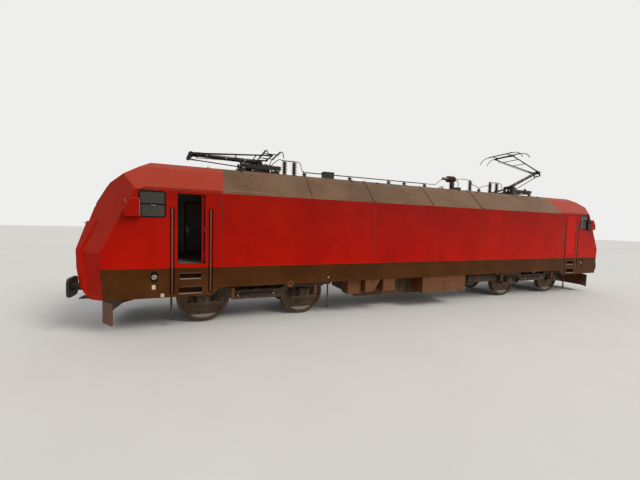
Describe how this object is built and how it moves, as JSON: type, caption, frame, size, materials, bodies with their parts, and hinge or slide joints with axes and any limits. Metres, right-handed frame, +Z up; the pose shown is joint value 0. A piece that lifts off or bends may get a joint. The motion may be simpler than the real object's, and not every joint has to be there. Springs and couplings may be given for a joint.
{
  "type": "electric locomotive",
  "caption": "Main-line electric locomotive with two faceted cabs, four powered axles in two bogies and two half-scissor pantographs.",
  "frame": {"origin": "middle of the vehicle, midway between the bogies and between the rails, at the height of the wheel flanges' lowest points, 28 mm below the rail top", "axes": "+X along the vehicle to the end whose pantograph is raised, -Y to the side that the picture shows, +Z up"},
  "size_m": [19.1, 3.218, 5.6954],
  "materials": {
    "body_red": "satin paint",
    "umber": "satin paint",
    "roof_grey": "matt paint",
    "dark_steel": "matt paint",
    "running_gear": "matt, dusty",
    "wheel_steel": "rolled tread, dusty",
    "bare_steel": "brushed",
    "lamp_glass": "clear",
    "window_glass": "tinted",
    "rubber": "matt",
    "cab_inside": "matt",
    "seat_cloth": "woven",
    "porcelain": "glazed",
    "copper_bar": "weathered",
    "antenna_white": "gloss",
    "pan_steel": "semi-matt"
  },
  "bodies": {
    "body": {"underframe": "dark_steel", "side_wall_near": "body_red", "side_wall_far": "body_red", "roof_hoods": "roof_grey", "cab_left_shell": "body_red", "cab_right_shell": "body_red", "cab_floors": "cab_inside", "cab_bulkheads": "cab_inside", "drivers_desks": "cab_inside", "drivers_seats": "seat_cloth", "windscreens": "window_glass", "side_windows": "window_glass", "window_frames": "rubber", "rain_gutters": "body_red", "outside_mirrors": "body_red", "hand_rails": "bare_steel", "head_lamps": "lamp_glass", "machine_block": "dark_steel", "buffers": "dark_steel", "draw_gear": "dark_steel", "shunter_treads": "dark_steel", "rail_guards": "umber", "transformer_tank": "umber", "side_boxes": "umber", "air_reservoirs": "running_gear", "roof_insulators": "porcelain", "bus_bars": "copper_bar", "circuit_breaker": "porcelain", "roof_antennas": "antenna_white", "pan_left_base": "pan_steel", "pan_right_base": "pan_steel"},
    "bogie_left": {"bogie_left_frame": "running_gear", "bogie_left_axle_boxes": "running_gear", "bogie_left_springs": "running_gear", "bogie_left_motors": "running_gear", "bogie_left_sand_pipes": "running_gear"},
    "bogie_right": {"bogie_right_frame": "running_gear", "bogie_right_axle_boxes": "running_gear", "bogie_right_springs": "running_gear", "bogie_right_motors": "running_gear", "bogie_right_sand_pipes": "running_gear"},
    "wheelset_1": {"wheelset_1": "wheel_steel"},
    "wheelset_2": {"wheelset_2": "wheel_steel"},
    "wheelset_3": {"wheelset_3": "wheel_steel"},
    "wheelset_4": {"wheelset_4": "wheel_steel"},
    "door_left_near": {"door_left_near": "body_red"},
    "door_left_far": {"door_left_far": "body_red"},
    "door_right_near": {"door_right_near": "body_red"},
    "door_right_far": {"door_right_far": "body_red"},
    "pan_left_lower_arm": {"pan_left_lower_arm": "pan_steel"},
    "pan_left_upper_arm": {"pan_left_upper_arm": "pan_steel"},
    "pan_left_head": {"pan_left_head": "pan_steel"},
    "pan_left_rod": {"pan_left_rod": "pan_steel"},
    "pan_right_lower_arm": {"pan_right_lower_arm": "pan_steel"},
    "pan_right_upper_arm": {"pan_right_upper_arm": "pan_steel"},
    "pan_right_head": {"pan_right_head": "pan_steel"},
    "pan_right_rod": {"pan_right_rod": "pan_steel"}
  },
  "joints": [
    {"name": "bogie_left_turn", "type": "hinge", "parent": "body", "child": "bogie_left", "pos_m": [-5.475, 0, 0.718], "axis": [0, 0, 1], "range_deg": [-3, 3]},
    {"name": "bogie_right_turn", "type": "hinge", "parent": "body", "child": "bogie_right", "pos_m": [5.475, 0, 0.718], "axis": [0, 0, 1], "range_deg": [-3, 3]},
    {"name": "wheelset_1_spin", "type": "hinge", "parent": "bogie_left", "child": "wheelset_1", "pos_m": [-6.8, 0, 0.653], "axis": [0, 1, 0], "continuous": true},
    {"name": "wheelset_2_spin", "type": "hinge", "parent": "bogie_left", "child": "wheelset_2", "pos_m": [-4.15, 0, 0.653], "axis": [0, 1, 0], "continuous": true},
    {"name": "wheelset_3_spin", "type": "hinge", "parent": "bogie_right", "child": "wheelset_3", "pos_m": [4.15, 0, 0.653], "axis": [0, 1, 0], "continuous": true},
    {"name": "wheelset_4_spin", "type": "hinge", "parent": "bogie_right", "child": "wheelset_4", "pos_m": [6.8, 0, 0.653], "axis": [0, 1, 0], "continuous": true},
    {"name": "door_right_near_swing", "type": "hinge", "parent": "body", "child": "door_right_near", "pos_m": [6.789, -1.404, 2.414], "axis": [0, 0, 1], "range_deg": [0, 90]},
    {"name": "door_right_far_swing", "type": "hinge", "parent": "body", "child": "door_right_far", "pos_m": [6.789, 1.404, 2.414], "axis": [0, 0, -1], "range_deg": [0, 90]},
    {"name": "door_left_far_swing", "type": "hinge", "parent": "body", "child": "door_left_far", "pos_m": [-6.789, 1.404, 2.414], "axis": [0, 0, 1], "range_deg": [0, 90]},
    {"name": "door_left_near_swing", "type": "hinge", "parent": "body", "child": "door_left_near", "pos_m": [-6.789, -1.404, 2.414], "axis": [0, 0, -1], "range_deg": [-90, 0]},
    {"name": "pan_right_raise", "type": "hinge", "parent": "body", "child": "pan_right_lower_arm", "pos_m": [5.3, 0, 4.378], "axis": [0, -1, 0], "range_deg": [-22.9, 15.6]},
    {"name": "pan_right_knee", "type": "hinge", "parent": "pan_right_lower_arm", "child": "pan_right_upper_arm", "pos_m": [6.97566, 0, 5.13811], "axis": [0, -1, 0], "range_deg": [-22.37, 32.6]},
    {"name": "pan_right_head_tilt", "type": "hinge", "parent": "pan_right_upper_arm", "child": "pan_right_head", "pos_m": [4.8791, 0, 5.5914], "axis": [0, -1, 0], "range_deg": [-9.7, 6.77]},
    {"name": "pan_right_rod_swing", "type": "hinge", "parent": "body", "child": "pan_right_rod", "pos_m": [5.4, 0, 4.178], "axis": [0, -1, 0], "range_deg": [-23.4, 16.1]},
    {"name": "pan_left_raise", "type": "hinge", "parent": "body", "child": "pan_left_lower_arm", "pos_m": [-5.3, 0, 4.378], "axis": [0, 1, 0], "range_deg": [0, 38.5]},
    {"name": "pan_left_knee", "type": "hinge", "parent": "pan_left_lower_arm", "child": "pan_left_upper_arm", "pos_m": [-7.13937, 0, 4.42617], "axis": [0, 1, 0], "range_deg": [-54.47, 0.5]},
    {"name": "pan_left_head_tilt", "type": "hinge", "parent": "pan_left_upper_arm", "child": "pan_left_head", "pos_m": [-4.99731, 0, 4.53843], "axis": [0, 1, 0], "range_deg": [-0.5, 15.97]},
    {"name": "pan_left_rod_swing", "type": "hinge", "parent": "body", "child": "pan_left_rod", "pos_m": [-5.4, 0, 4.178], "axis": [0, 1, 0], "range_deg": [-0.5, 39]}
  ],
  "couplings": [
    {"joint": "pan_right_knee", "follows": "pan_right_raise", "ratio": -1.4018},
    {"joint": "pan_right_head_tilt", "follows": "pan_right_raise", "ratio": 0.40175},
    {"joint": "pan_right_rod_swing", "follows": "pan_right_raise", "ratio": 1},
    {"joint": "pan_left_knee", "follows": "pan_left_raise", "ratio": -1.4018},
    {"joint": "pan_left_head_tilt", "follows": "pan_left_raise", "ratio": 0.40175},
    {"joint": "pan_left_rod_swing", "follows": "pan_left_raise", "ratio": 1}
  ]
}
